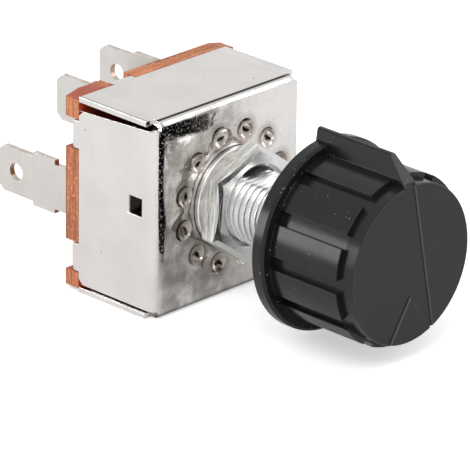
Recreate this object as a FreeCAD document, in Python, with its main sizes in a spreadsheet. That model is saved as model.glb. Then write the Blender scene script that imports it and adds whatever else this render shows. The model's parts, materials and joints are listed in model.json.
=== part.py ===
import FreeCAD, Part
import math
import os
import Sketcher

# Rotary fan speed switch: a folded steel case behind the panel, a threaded
# bushing through it, four blade terminals on a fibre board and a moulded knob.
# The shaft runs along Y. The knob is at -Y, the terminals are at +Y, +Z is up.
# The origin is on the shaft, at the case's front face that seats on the panel.

doc = FreeCAD.newDocument("FanSpeedSwitch")
sheet = doc.addObject("Spreadsheet::Sheet", "Sizes")
rows = []


class Size:
    # A number together with the expression that gives it from the named sizes.
    def __init__(self, value, text):
        self.value = value
        self.text = text

    def __add__(self, other):
        o = as_size(other)
        return Size(self.value + o.value, "(%s + %s)" % (self.text, o.text))

    def __radd__(self, other):
        return as_size(other) + self

    def __sub__(self, other):
        o = as_size(other)
        return Size(self.value - o.value, "(%s - %s)" % (self.text, o.text))

    def __rsub__(self, other):
        return as_size(other) - self

    def __mul__(self, other):
        o = as_size(other)
        return Size(self.value * o.value, "(%s * %s)" % (self.text, o.text))

    def __rmul__(self, other):
        return as_size(other) * self

    def __truediv__(self, other):
        o = as_size(other)
        return Size(self.value / o.value, "(%s / %s)" % (self.text, o.text))

    def __neg__(self):
        return Size(-self.value, "(-1 * %s)" % self.text)


def as_size(x):
    return x if isinstance(x, Size) else Size(float(x), repr(float(x)))


def cosine(angle):
    a = as_size(angle)
    return Size(math.cos(math.radians(a.value)), "cos(%s)" % a.text)


def sine(angle):
    a = as_size(angle)
    return Size(math.sin(math.radians(a.value)), "sin(%s)" % a.text)


def root(x):
    return Size(math.sqrt(x.value), "sqrt(%s)" % x.text)


def size(name, value, note):
    rows.append(name)
    line = len(rows)
    sheet.set("A%d" % line, note)
    sheet.set("B%d" % line, str(value))
    sheet.setAlias("B%d" % line, name)
    return Size(float(value), "Sizes." + name)


# Shaft, from which the fits outwards follow
shaft_radius = size("shaft_radius", 3.0, "radius of the shaft")
shaft_run = size("shaft_run", 0.05, "running clearance of the shaft")
fit_gap = size("fit_gap", 0.05, "assembly clearance of fixed pieces")
shaft_flat = size("shaft_flat", 1.5, "height of the shaft's flat above its axis")
flat_length = size("flat_length", 11.0, "length of the shaft's flat")
shaft_end_cut = size("shaft_end_cut", 0.4, "chamfer at the shaft's end")
shaft_inset = size("shaft_inset", 3.0, "shaft's end behind the knob's face")
collar_step = size("collar_step", 1.2, "thrust collar past the shaft")
collar_thick = size("collar_thick", 0.9, "thickness of the thrust collar")
tang_step = size("tang_step", 0.5, "tang's radius inside the shaft's")
tang_half = size("tang_half", 1.6, "half thickness of the tang that drives the rotor")
pilot_step = size("pilot_step", 0.1, "rear pilot inside the tang's thickness")
pilot_inset = size("pilot_inset", 0.2, "pilot's end inside the board's rear face")
ring_thick = size("ring_thick", 0.6, "thickness of the retaining ring")
ring_proud = size("ring_proud", 1.4, "retaining ring past the shaft")
ring_groove = size("ring_groove", 0.5, "depth of the ring's groove")
ring_gap = size("ring_gap", 0.2, "retaining ring to the bushing's end")
ring_arc = size("ring_arc", 290.0, "angle that the retaining ring covers")

# Bushing, washer and nut
bushing_wall = size("bushing_wall", 1.95, "wall of the bushing over its bore")
thread_spare = size("thread_spare", 7.5, "thread in front of the nut")
flat_cut = size("flat_cut", 0.75, "depth of the bushing's keying flat")
flange_step = size("flange_step", 1.2, "bushing's flange past its thread")
flange_thick = size("flange_thick", 1.0, "thickness of the bushing's flange")
bushing_chamfer = size("bushing_chamfer", 0.5, "chamfer at the front of the bushing")
washer_step = size("washer_step", 1.85, "washer's rim past the thread")
washer_thick = size("washer_thick", 0.8, "thickness of the washer")
nut_wall = size("nut_wall", 2.0, "wall of the nut at its flats")
nut_thick = size("nut_thick", 3.2, "thickness of the nut's hexagon")
nut_turn = size("nut_turn", 24.0, "angle of the nut's first corner")
shoulder_inset = size("shoulder_inset", 0.2, "nut's turned shoulder inside its flats")
shoulder_thick = size("shoulder_thick", 0.5, "height of the nut's turned shoulder")
nut_bevel = size("nut_bevel", 0.7, "height of the bevel on the nut's corners")
nut_sink = size("nut_sink", 0.6, "countersink of the nut's bore")

# Sheet of the folded case
tin = size("tin", 0.7, "sheet thickness of the case")
bend = size("bend", 1.0, "outer bend radius of the case")
relief = size("relief", 1.3, "corner relief beside each bend")
seam_front = size("seam_front", 0.5, "open corner seam next to the bend")
seam_rear = size("seam_rear", 1.2, "open upper seam at the rear edge")
corner_round = size("corner_round", 0.7, "rounded rear corners of the side walls")

# Detent pits pressed into the front face
pit_count = 12
pit_phase = size("pit_phase", 15.0, "angle of the first pit")
pit_rim = size("pit_rim", 1.45, "radius of a pit at the face")
pit_depth = size("pit_depth", 0.75, "depth of a pit")
bump_spread = size("bump_spread", 0.45, "foot of a pressed bump past its pit")
bump_crown = size("bump_crown", 0.8, "radius of a pressed bump's flat top")
bump_clear = size("bump_clear", 0.9, "pressed bumps from the bushing's flange")

# Rotor, detent balls and moving contact
ball_radius = size("ball_radius", 1.5, "radius of a detent ball")
ball_clear = size("ball_clear", 0.3, "ball to the top of the pressed bumps")
bore_slack = size("bore_slack", 0.05, "ball and spring in the rotor's bore")
boss_wall = size("boss_wall", 0.8, "wall around a ball's bore")
boss_lap = size("boss_lap", 0.55, "ball boss in front of the ball's middle")
spring_room = size("spring_room", 2.45, "length of a detent spring in its boss")
web_thick = size("web_thick", 1.2, "thickness of the rotor's web")
web_inset = size("web_inset", 0.95, "web's rim inside the ball bosses")
hub_wall = size("hub_wall", 0.8, "rotor's hub past the thrust collar")
arm_half = size("arm_half", 1.5, "half width of the rotor's arms")
arm_thick = size("arm_thick", 3.0, "height of the rotor's arms on its web")
neck_wall = size("neck_wall", 1.4, "wall of the rotor's rear neck")
neck_length = size("neck_length", 3.4, "length of the rotor's rear neck")
post_radius = size("post_radius", 0.8, "radius of a drive post")
coil_wire = size("coil_wire", 0.45, "wire of the detent springs")
plate_thick = size("plate_thick", 0.6, "thickness of the moving contact")
plate_gap = size("plate_gap", 0.45, "moving contact to the fixed rivet heads")
bump_radius = size("bump_radius", 0.6, "radius of a contact bump")
bump_gap = size("bump_gap", 0.08, "contact bump to what it slides on")
bump_rest = size("bump_rest", 110.0, "angle of the speed bump with the switch off")
spring_play = size("spring_play", 0.5, "contact spring around the neck")
spring_wall = size("spring_wall", 0.6, "wire of the contact spring")

# Room between the rotor's sweep and the case's walls
lance_drop = size("lance_drop", 1.7, "how far the tongue's tip is pressed in")
lance_clear = size("lance_clear", 0.445, "rotor's sweep to the pressed tongue")
room_right = size("room_right", 0.505, "rotor's sweep to the right wall")
room_top = size("room_top", 1.6, "rotor's sweep to the top wall")
room_low = size("room_low", 1.45, "rotor's sweep to the bottom wall")
lance_front = size("lance_front", 2.1, "front edge of the lanced window")
lance_open = size("lance_open", 1.6, "window's front edge to the tongue's tip")
lance_run = size("lance_run", 1.1, "length of the tongue along the wall")
lance_low = size("lance_low", 0.4, "lower edge of the lanced window")
lance_high = size("lance_high", 2.9, "upper edge of the lanced window")

# Crimped tabs and the terminal board
board_thick = size("board_thick", 2.4, "thickness of the terminal board")
board_overhang = size("board_overhang", 1.45, "board past the right wall of the case")
board_cut_x = size("board_cut_x", 2.2, "corner cut of the board, sideways")
board_cut_z = size("board_cut_z", 0.5, "corner cut of the board, upwards")
tab_width = size("tab_width", 3.8, "width of a crimped tab")
tab_reach = size("tab_reach", 2.7, "length of a tab over the board")
tab_sink = size("tab_sink", 0.65, "crimped tab inside the board's rear face")
tab_fold = size("tab_fold", 1.1, "outer radius of a crimped tab's fold")
tab_corner = size("tab_corner", 0.9, "rounded corners of a crimped tab")
tab_upper = size("tab_upper", 5.25, "upper side tab below the case's top")
tab_lower = size("tab_lower", 4.8, "lower side tab above the case's bottom")
tab_side = size("tab_side", 6.875, "top and bottom tab from the nearest side wall")
tab_shift = size("tab_shift", 1.4, "upper tab further in than the lower one")
tab_clear = size("tab_clear", 0.2, "gap between a tab and its notch")

# Terminals
blade_thick = size("blade_thick", 0.8, "thickness of a terminal blade")
blade_half = size("blade_half", 3.175, "half width of a terminal blade")
blade_length = size("blade_length", 6.5, "blade tip to its shoulders")
ear_half = size("ear_half", 3.72, "half width over the shoulders")
ear_length = size("ear_length", 4.1, "length of the wide part behind the shoulders")
stem_half = size("stem_half", 3.12, "half width of the stem through the board")
blade_stand = size("blade_stand", 14.95, "blade tip above the board's rear face")
blade_cut = size("blade_cut", 1.0, "tip corner cut along the blade")
blade_cut_z = size("blade_cut_z", 0.8, "tip corner cut across the blade")
latch_back = size("latch_back", 3.3, "latch hole's centre from the blade tip")
latch_radius = size("latch_radius", 1.2, "radius of the latch hole")
common_in = size("common_in", 2.595, "common terminal from the left wall's outside")
common_z = size("common_z", -1.4, "place of the common terminal, upwards")
low_out = size("low_out", 2.265, "low speed terminal outside its contact")
low_drop = size("low_drop", 2.1, "low speed terminal below the medium one")
medium_out = size("medium_out", 2.3, "medium terminal outside its contact")
medium_in = size("medium_in", 5.95, "medium terminal below the case's top")
high_in = size("high_in", 2.555, "high terminal from the right wall's outside")
high_z = size("high_z", 0.5, "place of the high speed terminal, upwards")

# Fixed contacts on the inside of the board
contact_step = size("contact_step", 30.0, "angle between two speed contacts")
contact_first = size("contact_first", 80.0, "angle of the low speed contact")
contact_clear = size("contact_clear", 0.8, "speed contacts from the common track")
pad_half = size("pad_half", 1.25, "half side of a terminal's contact pad")
head_radius = size("head_radius", 1.2, "radius of a contact rivet's head")
head_thick = size("head_thick", 0.6, "thickness of a contact rivet's head")
shank_radius = size("shank_radius", 0.75, "radius of a contact rivet's shank")
clinch_thick = size("clinch_thick", 0.5, "height of the rivet's clinched rear end")
track_gap = size("track_gap", 0.3, "common track around the rotor's neck")
track_width = size("track_width", 1.8, "width of the common track")
track_clear = size("track_clear", 0.5, "gap of the common track beside the low terminal")
track_end = size("track_end", 0.8, "height of the common track's open end")
strip_half = size("strip_half", 1.4, "half width of the common terminal's strip")
common_rivet_in = size("common_rivet_in", 3.2, "common rivet inside its terminal")

# Knob
knob_stand = size("knob_stand", 3.0, "skirt's rear in front of the retaining ring")
knob_length = size("knob_length", 15.6, "length of the knob")
skirt_thick = size("skirt_thick", 2.1, "thickness of the skirt")
hub_thick = size("hub_thick", 2.2, "wall of the knob's hub")
hollow_width = size("hollow_width", 3.6, "width of the hollow around the hub")
body_wall = size("body_wall", 1.95, "wall of the knob's body")
skirt_step = size("skirt_step", 2.09, "skirt past the knob's body")
face_step = size("face_step", 0.07, "knob's face inside the body")
collar_length = size("collar_length", 2.1, "length of the plain collar in front of the grip pads")
pad_height = size("pad_height", 0.72, "grip pads past the knob's body")
pad_pitch = size("pad_pitch", 30.0, "angle from one grip pad to the next")
pad_gap = size("pad_gap", 9.2, "angle of the bare strip between two grip pads")
knob_lean = size("knob_lean", 2.25, "pointer's lean to the left of upright when the switch is off")
edge_round = size("edge_round", 0.35, "rounding of the skirt's edges")
face_round = size("face_round", 0.12, "rounding of the face's edge")
fin_proud = size("fin_proud", 3.62, "pointer's crest past the knob's face")
fin_base = size("fin_base", 1.25, "half width of the pointer at its foot")
fin_crest = size("fin_crest", 0.42, "half width of the pointer at its crest")
fin_slope = size("fin_slope", 3.2, "length of the pointer's front slope")
knob_wall = size("knob_wall", 2.2, "thickness of the knob's front wall")
hub_inset = size("hub_inset", 0.6, "hub's end inside the skirt's rear")
brace_half = size("brace_half", 0.6, "half thickness of a brace in the hollow")
brace_inset = size("brace_inset", 3.2, "braces inside the skirt's rear")
hub_bore_slack = size("hub_bore_slack", 0.02, "knob's bore on the shaft")
hub_bore_end = size("hub_bore_end", 0.2, "shaft's end to the bottom of the knob's bore")
clip_thick = size("clip_thick", 0.3, "thickness of the spring clip")
clip_half = size("clip_half", 1.5, "half width of the spring clip")
clip_slack = size("clip_slack", 0.04, "clip's clearance on the flat and in the bore")
clip_reach = size("clip_reach", 10.0, "length of the clip along the flat")
arrow_top = size("arrow_top", 0.85, "half width of the arrow at the pointer")
arrow_low = size("arrow_low", 4.5, "half width of the arrow at its tails")
arrow_tail = size("arrow_tail", 0.7, "arrow's tails past the knob's face")
arrow_notch = size("arrow_notch", 5.83, "arrow's notch inside the knob's face")
arrow_depth = size("arrow_depth", 0.3, "depth of the arrow in the face")
arrow_slope = size("arrow_slope", 40.0, "slope of the arrow's side walls")

doc.recompute()

# Radii that follow from the shaft outwards
bore = shaft_radius + shaft_run
thread_radius = bore + bushing_wall
flange_radius = thread_radius + flange_step
washer_radius = thread_radius + washer_step
nut_flats = (thread_radius + nut_wall) * 2
nut_shoulder = nut_flats / 2 - shoulder_inset
bushing_flat = thread_radius - flat_cut
collar_radius = shaft_radius + collar_step
tang_radius = shaft_radius - tang_step
pilot_radius = tang_half - pilot_step
ring_seat = shaft_radius - ring_groove
ring_outer = shaft_radius + ring_proud
hub_radius = collar_radius + hub_wall
neck_radius = pilot_radius + neck_wall
bump_rim = pit_rim + bump_spread
pit_circle = flange_radius + bump_clear + bump_rim
bore_radius = ball_radius + bore_slack
rotor_reach = pit_circle + bore_radius + boss_wall
web_radius = rotor_reach - web_inset
track_inner = neck_radius + track_gap
track_outer = track_inner + track_width
contact_circle = track_outer + contact_clear + head_radius
plate_radius = contact_circle + head_radius
post_circle = contact_circle - head_radius
spring_inner = neck_radius + spring_play

# The case fits round the rotor's sweep
case_right = rotor_reach + room_right + tin
case_left = -(rotor_reach + lance_clear + lance_drop + tin)
case_top = rotor_reach + room_top + tin
case_low = -(rotor_reach + room_low + tin)
case_width = case_right - case_left

# Distances along the shaft, from the panel face towards +Y
bump_top = pit_depth + tin
collar_front = tin + flange_thick + shaft_run
collar_back = collar_front + collar_thick
hub_front = collar_back + shaft_run
ball_y = bump_top + ball_clear + ball_radius
boss_front = ball_y - boss_lap
web_front = ball_y + ball_radius + spring_room
arm_front = web_front - arm_thick
tang_end = web_front + web_thick
neck_end = tang_end + neck_length
rivet_front = neck_end + plate_gap
foot_front = rivet_front + head_thick
case_depth = foot_front + blade_thick
board_rear = case_depth + board_thick

# Distances along the shaft in front of the panel face
nut_rear = -washer_thick - shoulder_thick
nut_front = nut_rear - nut_thick
bushing_front = thread_spare - nut_front
groove_rear = -bushing_front - ring_gap
groove_front = groove_rear - ring_thick
knob_rear = knob_stand - groove_front
knob_front = knob_rear + knob_length
shaft_front = knob_front - shaft_inset
collar_rear = knob_front - collar_length

# Radii of the knob, from its hub outwards
knob_hub = shaft_radius + hub_thick
cavity_radius = knob_hub + hollow_width
body_edge = cavity_radius + body_wall
skirt_radius = body_edge + skirt_step
face_radius = body_edge - face_step
fin_height = face_radius + fin_proud

# Places of the terminals and tabs
common_x = case_left + common_in
common_rivet_x = common_x + common_rivet_in
low_x = contact_circle * cosine(contact_first) - low_out
medium_x = contact_circle * cosine(contact_first - contact_step) + medium_out
medium_z = case_top - medium_in
low_z = medium_z - low_drop
high_x = case_right - high_in
upper = case_top - tab_upper
lower = case_low + tab_lower
top_x = case_left + tab_side + tab_shift
low_tab_x = case_right - tab_side

nodes = []


def piece(label):
    # One sub-part: a solid built from its own sketches.
    made = doc.addObject("PartDesign::Body", label)
    made.Label = label
    doc.recompute()
    nodes.append(made)
    return made


def plane_of(owner, role):
    for feature in owner.Origin.OriginFeatures:
        if feature.Role == role:
            return feature
    raise RuntimeError("no plane " + role)


def corner_points(outline):
    # Each corner of an outline is (u, v) or, at a right angle, (u, v, rounding).
    count = len(outline)
    points = []
    for i in range(count):
        here = [as_size(x) for x in outline[i]]
        if len(here) == 2:
            points.append((here[0], here[1], None))
            continue
        before = outline[i - 1]
        after = outline[(i + 1) % count]
        steps = []
        for other in (before, after):
            du = as_size(other[0]).value - here[0].value
            dv = as_size(other[1]).value - here[1].value
            along_u = abs(du) > abs(dv)
            steps.append((math.copysign(1, du), 0) if along_u else (0, math.copysign(1, dv)))
        (bu, bv), (au, av) = steps
        start = (here[0] + here[2] * bu, here[1] + here[2] * bv)
        end = (here[0] + here[2] * au, here[1] + here[2] * av)
        centre = (here[0].value + here[2].value * (bu + au), here[1].value + here[2].value * (bv + av))
        left_turn = bv * au - bu * av > 0
        points.append((start[0], start[1], (centre, here[2], left_turn)))
        points.append((end[0], end[1], None))
    return points


def fix_point(target, index, position, u, v):
    for kind, value in (("DistanceX", u), ("DistanceY", v)):
        number = target.addConstraint(
            Sketcher.Constraint(kind, -1, 1, index, position, value.value)
        )
        target.setExpression("Constraints[%d]" % number, value.text)


def draw_outline(target, outline):
    points = corner_points(outline)
    count = len(points)
    first = target.GeometryCount
    vector = FreeCAD.Vector
    for i in range(count):
        u, v, turn = points[i]
        nu, nv, _ = points[(i + 1) % count]
        start = vector(u.value, v.value, 0)
        end = vector(nu.value, nv.value, 0)
        if turn is None:
            target.addGeometry(Part.LineSegment(start, end), False)
        else:
            (cu, cv), radius, left_turn = turn
            low, high = (start, end) if left_turn else (end, start)
            begin = math.atan2(low.y - cv, low.x - cu)
            finish = math.atan2(high.y - cv, high.x - cu)
            if finish < begin:
                finish += 2 * math.pi
            circle = Part.Circle(vector(cu, cv, 0), vector(0, 0, 1), radius.value)
            target.addGeometry(Part.ArcOfCircle(circle, begin, finish), False)
    for i in range(count):
        u, v, turn = points[i]
        after = first + (i + 1) % count
        is_arc = turn is not None
        if is_arc:
            forward = 2 if turn[2] else 1
            backward = 3 - forward
            number = target.addConstraint(Sketcher.Constraint("Radius", first + i, turn[1].value))
            target.setExpression("Constraints[%d]" % number, turn[1].text)
        else:
            fix_point(target, first + i, 1, u, v)
        next_turn = points[(i + 1) % count][2]
        if is_arc and next_turn is None:
            target.addConstraint(Sketcher.Constraint("Coincident", first + i, forward, after, 1))
        elif not is_arc and next_turn is None:
            target.addConstraint(Sketcher.Constraint("Coincident", first + i, 2, after, 1))
        if is_arc:
            before = first + (i - 1) % count
            target.addConstraint(Sketcher.Constraint("Coincident", before, 2, first + i, backward))
            fix_point(target, before, 2, u, v)


def draw_circle(target, u, v, radius):
    u, v, radius = as_size(u), as_size(v), as_size(radius)
    index = target.addGeometry(
        Part.Circle(FreeCAD.Vector(u.value, v.value, 0), FreeCAD.Vector(0, 0, 1), radius.value), False
    )
    fix_point(target, index, 3, u, v)
    number = target.addConstraint(Sketcher.Constraint("Radius", index, radius.value))
    target.setExpression("Constraints[%d]" % number, radius.text)


def sketch(owner, role, outlines=(), circles=(), offset=None, turn=None):
    made = owner.newObject("Sketcher::SketchObject", "Sketch")
    made.AttachmentSupport = [(plane_of(owner, role), "")]
    made.MapMode = "FlatFace"
    if turn is not None:
        made.AttachmentOffset = FreeCAD.Placement(
            FreeCAD.Vector(0, 0, 0), FreeCAD.Rotation(FreeCAD.Vector(0, 1, 0), as_size(turn).value)
        )
        made.setExpression(".AttachmentOffset.Rotation.Angle", as_size(turn).text)
    if offset is not None:
        made.setExpression(".AttachmentOffset.Base.z", as_size(offset).text)
    for outline in outlines:
        draw_outline(made, outline)
    for u, v, radius in circles:
        draw_circle(made, u, v, radius)
    doc.recompute()
    return made


def extrude(owner, kind, profile, length, back=False, both=False):
    made = owner.newObject("PartDesign::" + kind, kind)
    made.Profile = profile
    made.Reversed = back
    made.Midplane = both
    made.setExpression("Length", as_size(length).text)
    doc.recompute()
    return made


def slab(owner, kind, front, rear, outlines=(), circles=()):
    # Adds or cuts between two distances along the shaft, measured towards +Y.
    front, rear = as_size(front), as_size(rear)
    profile = sketch(owner, "XZ_Plane", outlines, circles, offset=-front)
    return extrude(owner, kind, profile, rear - front, back=(kind == "Pad"))


def spin(owner, kind, outlines, angle=360, turn=None, about=None):
    profile = sketch(owner, "XY_Plane", outlines, turn=turn)
    if about is not None:
        line = profile.addGeometry(
            Part.LineSegment(
                FreeCAD.Vector(about.value, 0, 0), FreeCAD.Vector(about.value, 1, 0)
            ),
            True,
        )
        fix_point(profile, line, 1, about, as_size(0))
        fix_point(profile, line, 2, about, as_size(1))
        doc.recompute()
    made = owner.newObject("PartDesign::" + kind, kind)
    made.Profile = profile
    made.ReferenceAxis = (profile, ["Axis0" if about is not None else "V_Axis"])
    made.setExpression("Angle", as_size(angle).text)
    doc.recompute()
    return made


def box_outline(u0, v0, u1, v1):
    return [(u0, v0), (u1, v0), (u1, v1), (u0, v1)]


def mirror_u(outline):
    return [(-as_size(p[0]),) + tuple(p[1:]) for p in outline]


def place(made, x, z):
    made.setExpression(".Placement.Base.x", as_size(x).text)
    made.setExpression(".Placement.Base.z", as_size(z).text)


# Case: one blank folded into a front face and four walls, open at the corners.
inner_bend = bend - tin
wall_start = bend + seam_front
shell = piece("case")
strip = [
    (case_depth, case_top), (0, case_top, bend), (0, case_low, bend), (case_depth, case_low),
    (case_depth, case_low + tin), (tin, case_low + tin, inner_bend),
    (tin, case_top - tin, inner_bend), (case_depth, case_top - tin),
]
profile = sketch(shell, "YZ_Plane", [strip], offset=case_left + relief)
extrude(shell, "Pad", profile, case_width - 2 * relief)
side_low = case_low + tin + seam_front
side_high = case_top - tin - seam_front
strip = [
    (case_left, case_depth), (case_left, 0, bend), (case_right, 0, bend), (case_right, case_depth),
    (case_right - tin, case_depth), (case_right - tin, tin, inner_bend),
    (case_left + tin, tin, inner_bend), (case_left + tin, case_depth),
]
profile = sketch(shell, "XY_Plane", [strip], offset=side_low)
extrude(shell, "Pad", profile, side_high - side_low)
for level in (case_low, case_top - tin):
    wall = box_outline(case_left, wall_start, case_right, case_depth)
    profile = sketch(shell, "XY_Plane", [wall], offset=level)
    extrude(shell, "Pad", profile, tin)
wedge = [
    (wall_start, side_high), (case_depth + tin, case_top - tin - seam_rear),
    (case_depth + tin, case_top - tin), (wall_start, case_top - tin),
]
rear_high = case_top - tin - seam_rear
corners = []
for level, inward in ((rear_high, -1), (side_low, 1)):
    corners.append([
        (case_depth - corner_round, level), (case_depth + tin, level),
        (case_depth + tin, level + corner_round * inward),
        (case_depth, level + corner_round * inward),
    ])
profile = sketch(shell, "YZ_Plane", [wedge], offset=case_left - tin)
extrude(shell, "Pocket", profile, case_width + 2 * tin, back=True)
for outline in corners:
    profile = sketch(shell, "YZ_Plane", [outline], offset=case_left - tin)
    extrude(shell, "Pocket", profile, case_width + 2 * tin, back=True)

# Tabs that pass through the board's notches and are crimped into its rear.
tab_outer = board_rear - tab_sink
tab_inner = tab_outer - tin
tab_root = case_depth - tin
side_tabs = [
    [(case_left, tab_root), (case_left + tin, tab_root), (case_left + tin, tab_inner),
     (case_left + tab_reach, tab_inner), (case_left + tab_reach, tab_outer),
     (case_left, tab_outer, tab_fold)],
    [(case_right, tab_root), (case_right, tab_outer, tab_fold),
     (case_right - tab_reach, tab_outer), (case_right - tab_reach, tab_inner),
     (case_right - tin, tab_inner), (case_right - tin, tab_root)],
]
for level in (upper, lower):
    profile = sketch(shell, "XY_Plane", side_tabs, offset=level)
    extrude(shell, "Pad", profile, tab_width, both=True)
top_tab = [
    (tab_root, case_top), (tab_outer, case_top, tab_fold), (tab_outer, case_top - tab_reach),
    (tab_inner, case_top - tab_reach), (tab_inner, case_top - tin), (tab_root, case_top - tin),
]
low_tab = [
    (tab_root, case_low), (tab_outer, case_low, tab_fold), (tab_outer, case_low + tab_reach),
    (tab_inner, case_low + tab_reach), (tab_inner, case_low + tin), (tab_root, case_low + tin),
]
for outline, across in ((top_tab, top_x), (low_tab, low_tab_x)):
    profile = sketch(shell, "YZ_Plane", [outline], offset=across)
    extrude(shell, "Pad", profile, tab_width, both=True)

# Rounded corners of the crimped tabs, cut through both walls at once.
rounds = []
for middle, edge in ((upper, 1), (upper, -1), (lower, 1), (lower, -1)):
    level = middle + tab_width / 2 * edge
    rounds.append([
        (tab_outer - tab_corner, level + fit_gap * edge), (tab_outer - tab_corner, level),
        (tab_outer - tab_corner / 4, level - tab_corner / 4 * edge),
        (tab_outer, level - tab_corner * edge), (tab_outer + fit_gap, level - tab_corner * edge),
        (tab_outer + fit_gap, level + fit_gap * edge),
    ])
profile = sketch(shell, "YZ_Plane", rounds, offset=case_left - tin)
extrude(shell, "Pocket", profile, case_width + 2 * tin, back=True)

# Lanced window in the left wall with its tongue pressed inwards.
lance_middle = (lance_low + lance_high) / 2
lance_tip = lance_front + lance_open
lance_root = lance_tip + lance_run
window = box_outline(lance_front, lance_low, lance_root, lance_high)
profile = sketch(shell, "YZ_Plane", [window], offset=case_left - tin)
extrude(shell, "Pocket", profile, tin * 3, back=True)
lance_length = root(lance_drop * lance_drop + lance_run * lance_run)
tip_x = lance_drop + tin * lance_run / lance_length
tip_y = lance_tip + tin * lance_drop / lance_length
inner_root = tip_y + lance_run * (tip_x - tin) / lance_drop
tongue = [
    (case_left, inner_root + tin), (case_left, lance_root), (case_left + lance_drop, lance_tip),
    (case_left + tip_x, tip_y), (case_left + tin, inner_root), (case_left + tin, inner_root + tin),
]
profile = sketch(shell, "XY_Plane", [tongue], offset=lance_middle)
extrude(shell, "Pad", profile, lance_high - lance_low, both=True)

# Detent pits: each is a dished pit outside and a flat-topped bump inside.
dome = (pit_rim * pit_rim + pit_depth * pit_depth) / (pit_depth * 2)


def end_at(base, index, u, v=None):
    # Which end of a line or an arc lies at (u, v); without v, at u or else its start.
    here = base.getPoint(index, 1)
    there = base.getPoint(index, 2)
    if v is None:
        from_start = abs(here.x - u.value) <= abs(there.x - u.value)
    else:
        near = math.hypot(here.x - u.value, here.y - v.value)
        far = math.hypot(there.x - u.value, there.y - v.value)
        from_start = near <= far
    return 1 if from_start else 2


def ring_of(kind, points, arc=None):
    # Half section beside a pit's own axis, spun about that axis and repeated.
    base = shell.newObject("Sketcher::SketchObject", "Sketch")
    base.AttachmentSupport = [(plane_of(shell, "XY_Plane"), "")]
    base.MapMode = "FlatFace"
    base.AttachmentOffset = FreeCAD.Placement(
        FreeCAD.Vector(0, 0, 0), FreeCAD.Rotation(FreeCAD.Vector(0, 1, 0), -pit_phase.value)
    )
    base.setExpression(".AttachmentOffset.Rotation.Angle", "-1 * " + pit_phase.text)
    vector = FreeCAD.Vector
    x = pit_circle.value
    places = [(pit_circle + as_size(u), as_size(v)) for u, v in points]
    for i, (u, v) in enumerate(places):
        nu, nv = places[(i + 1) % len(places)]
        start, end = vector(u.value, v.value, 0), vector(nu.value, nv.value, 0)
        if i == arc:
            middle = vector(x + pit_rim.value / 2, 0, 0)
            middle.y = pit_depth.value - dome.value + math.sqrt(dome.value ** 2 - (pit_rim.value / 2) ** 2)
            base.addGeometry(Part.Arc(start, middle, end), False)
        else:
            base.addGeometry(Part.LineSegment(start, end), False)
    for i, (u, v) in enumerate(places):
        before = (i - 1) % len(places)
        fix_point(base, i, end_at(base, i, u), u, v)
        base.addConstraint(Sketcher.Constraint(
            "Coincident", before, end_at(base, before, u, v), i, end_at(base, i, u)
        ))
    if arc is not None:
        number = base.addConstraint(Sketcher.Constraint("Radius", arc, dome.value))
        base.setExpression("Constraints[%d]" % number, dome.text)
    line = base.addGeometry(Part.LineSegment(vector(x, 0, 0), vector(x, 1, 0)), True)
    fix_point(base, line, 1, pit_circle, as_size(0))
    fix_point(base, line, 2, pit_circle, as_size(1))
    doc.recompute()
    made = shell.newObject("PartDesign::" + kind, kind)
    made.Profile = base
    made.ReferenceAxis = (base, ["Axis0"])
    made.Angle = 360
    doc.recompute()
    ring = shell.newObject("PartDesign::PolarPattern", "Ring")
    ring.Originals = [made]
    ring.Axis = (base, ["V_Axis"])
    ring.Angle = 360
    ring.Occurrences = pit_count
    shell.Tip = ring
    doc.recompute()


ring_of("Revolution", [(0, tin / 2), (0, bump_top), (bump_crown, bump_top), (bump_rim, tin), (bump_rim, tin / 2)])
ring_of("Groove", [(0, -tin), (0, pit_depth), (pit_rim, 0), (pit_rim, -tin)], arc=1)
slab(shell, "Pocket", -tin, tin * 2, circles=[(0, 0, thread_radius + fit_gap)])

# Terminal board with notches for the tabs and slots for the terminals.
board = piece("terminal_board")
notch_half = tab_width / 2 + tab_clear
board_right = case_right + board_overhang
notch_left = case_left + tin + fit_gap
notch_right = case_right - tin - fit_gap
notch_top = case_top - tin - fit_gap
notch_low = case_low + tin + fit_gap
outline = [
    (case_left, case_low + board_cut_z), (case_left + board_cut_x, case_low),
    (low_tab_x - notch_half, case_low), (low_tab_x - notch_half, notch_low),
    (low_tab_x + notch_half, notch_low), (low_tab_x + notch_half, case_low),
    (board_right - board_cut_x, case_low), (board_right, case_low + board_cut_z),
    (board_right, lower - notch_half), (notch_right, lower - notch_half),
    (notch_right, lower + notch_half), (board_right, lower + notch_half),
    (board_right, upper - notch_half), (notch_right, upper - notch_half),
    (notch_right, upper + notch_half), (board_right, upper + notch_half),
    (board_right, case_top - board_cut_z), (board_right - board_cut_x, case_top),
    (top_x + notch_half, case_top), (top_x + notch_half, notch_top),
    (top_x - notch_half, notch_top), (top_x - notch_half, case_top),
    (case_left + board_cut_x, case_top), (case_left, case_top - board_cut_z),
    (case_left, upper + notch_half), (notch_left, upper + notch_half),
    (notch_left, upper - notch_half), (case_left, upper - notch_half),
    (case_left, lower + notch_half), (notch_left, lower + notch_half),
    (notch_left, lower - notch_half), (case_left, lower - notch_half),
]
slab(board, "Pad", case_depth, board_rear, [outline])
seat_front = tab_inner - fit_gap
seat_reach = tab_reach + tab_clear
seats = []
for level in (upper, lower):
    seats.append(box_outline(case_left - tin, level - notch_half, case_left + seat_reach, level + notch_half))
    seats.append(box_outline(case_right - seat_reach, level - notch_half, board_right + tin, level + notch_half))
seats.append(box_outline(top_x - notch_half, case_top - seat_reach, top_x + notch_half, case_top + tin))
seats.append(box_outline(low_tab_x - notch_half, case_low - tin, low_tab_x + notch_half, case_low + seat_reach))
slab(board, "Pocket", seat_front, board_rear + fit_gap, seats)

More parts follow.
